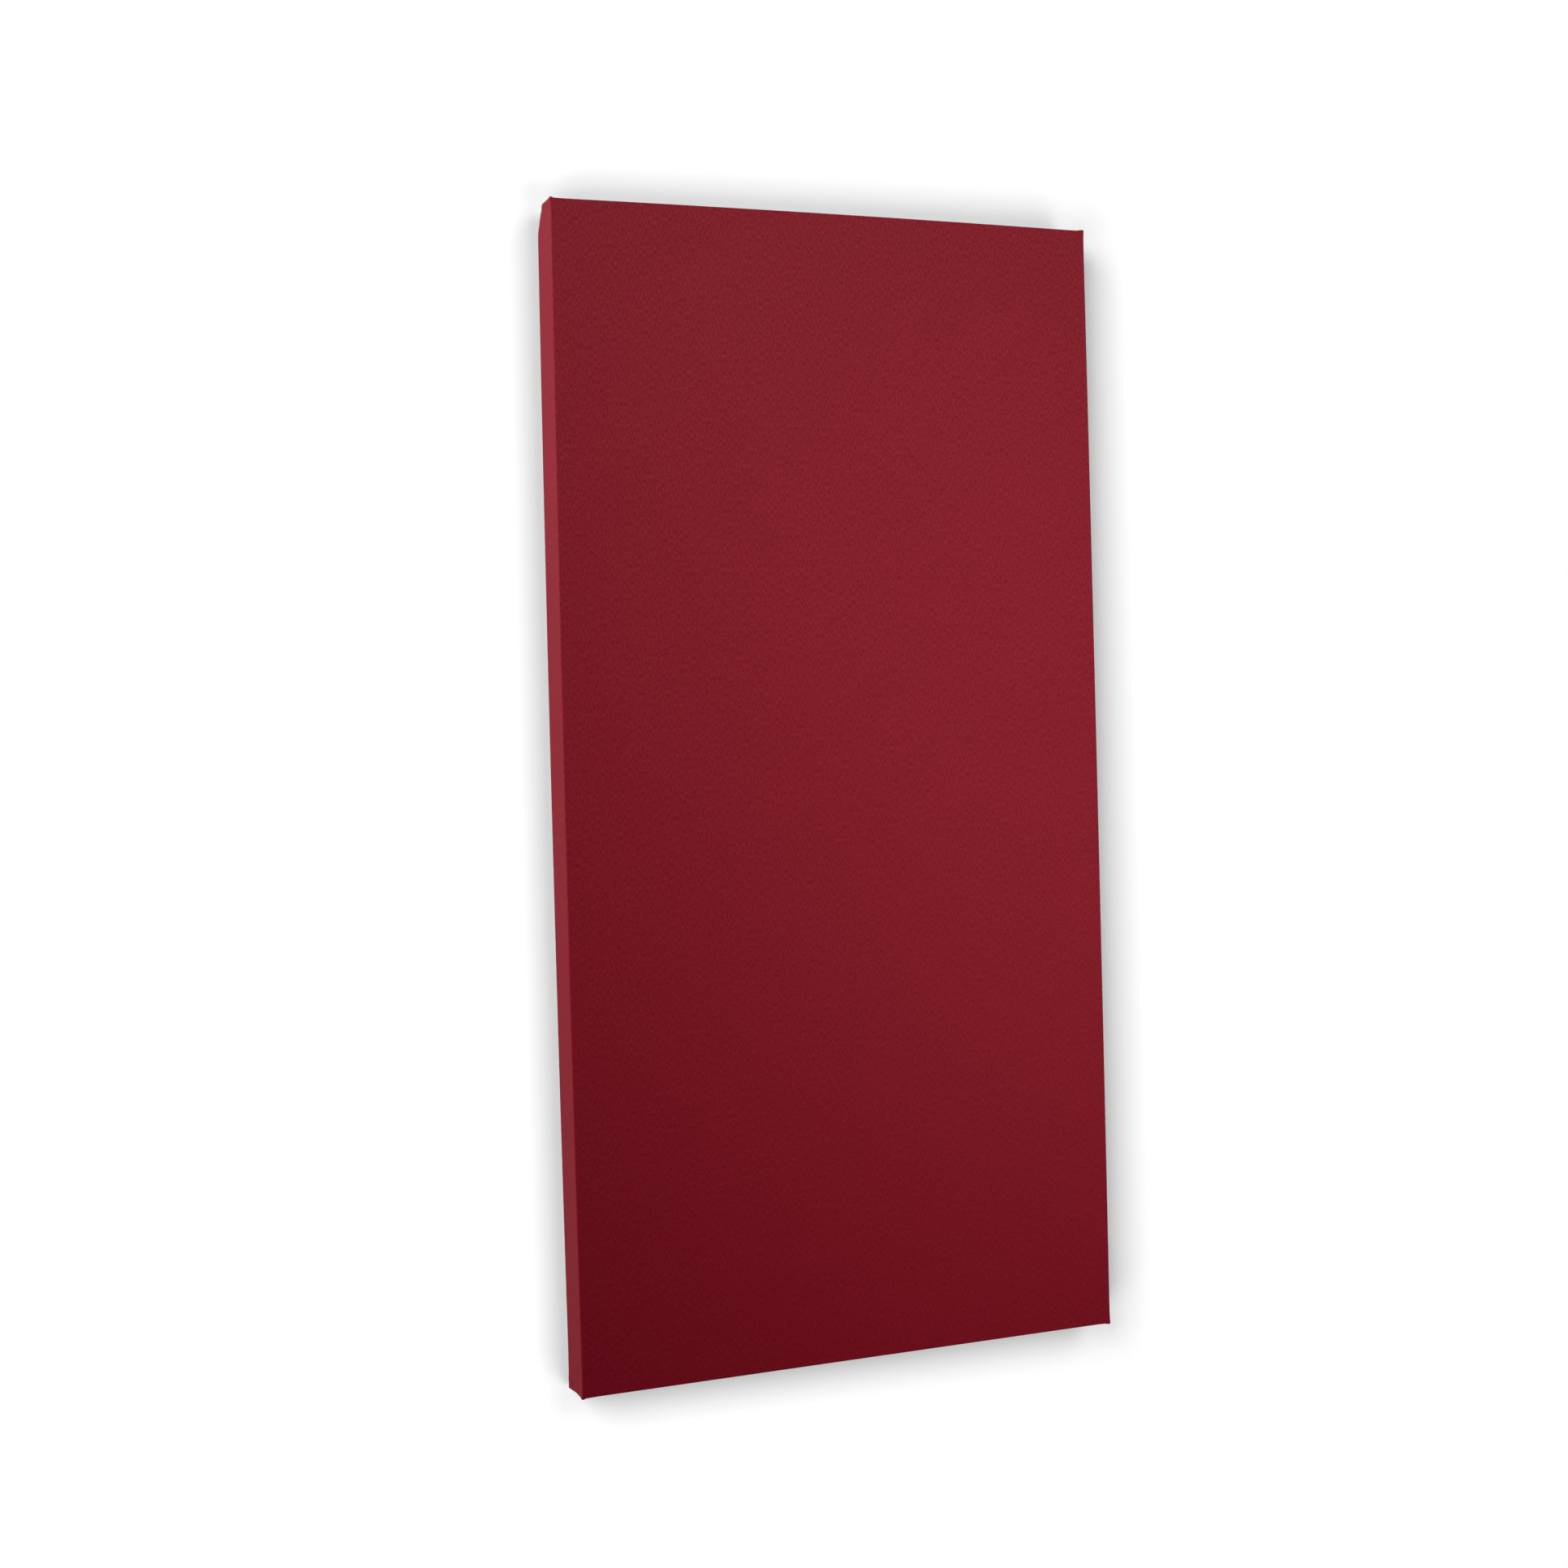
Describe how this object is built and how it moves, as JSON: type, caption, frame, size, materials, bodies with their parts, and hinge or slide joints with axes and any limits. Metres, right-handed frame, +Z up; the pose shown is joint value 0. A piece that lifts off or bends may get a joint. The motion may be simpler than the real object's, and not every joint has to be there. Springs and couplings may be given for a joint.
{
  "type": "acoustic panel",
  "caption": "Upright fabric-wrapped acoustic panel with a wood frame, mineral wool core and rear dust cover, hung on interlocking Z-shaped cleats.",
  "frame": {"origin": "centre of the wall cleat's back face, which lies on the wall", "axes": "+Z up, +Y into the wall, so the front faces -Y, and +X to the right as seen from the front"},
  "size_m": [0.6096, 0.0568, 1.221],
  "materials": {
    "red_cloth": "matte",
    "tissue": "matte",
    "mineral_wool": "matte",
    "pine": "matte",
    "plywood": "matte",
    "non_woven": "matte",
    "aluminium": "satin",
    "zinc_steel": "satin",
    "rubber": "matte"
  },
  "bodies": {
    "wall_side": {"wall_cleat": "aluminium"},
    "panel": {"fabric_wrap": "red_cloth", "front_scrim": "tissue", "absorber_core": "mineral_wool", "left_stile": "pine", "right_stile": "pine", "top_rail": "pine", "bottom_rail": "pine", "top_left_rear_frame_screw": "zinc_steel", "top_left_front_frame_screw": "zinc_steel", "top_right_rear_frame_screw": "zinc_steel", "top_right_front_frame_screw": "zinc_steel", "bottom_left_rear_frame_screw": "zinc_steel", "bottom_left_front_frame_screw": "zinc_steel", "bottom_right_rear_frame_screw": "zinc_steel", "bottom_right_front_frame_screw": "zinc_steel", "hanging_rail": "plywood", "hanging_rail_left_screw": "zinc_steel", "hanging_rail_right_screw": "zinc_steel", "upper_slat": "plywood", "upper_slat_left_screw": "zinc_steel", "upper_slat_right_screw": "zinc_steel", "lower_slat": "plywood", "lower_slat_left_screw": "zinc_steel", "lower_slat_right_screw": "zinc_steel", "left_gusset": "plywood", "right_gusset": "plywood", "rear_dust_cover": "non_woven", "left_bumper": "rubber", "left_bumper_screw": "zinc_steel", "right_bumper": "rubber", "right_bumper_screw": "zinc_steel", "panel_cleat": "aluminium", "cleat_screw_1": "zinc_steel", "cleat_screw_2": "zinc_steel", "cleat_screw_3": "zinc_steel", "cleat_screw_4": "zinc_steel"}
  },
  "joints": [
    {"name": "lift_off", "type": "slide", "parent": "wall_side", "child": "panel", "axis": [0, 0, 1], "range_m": [0, 0.013]}
  ]
}
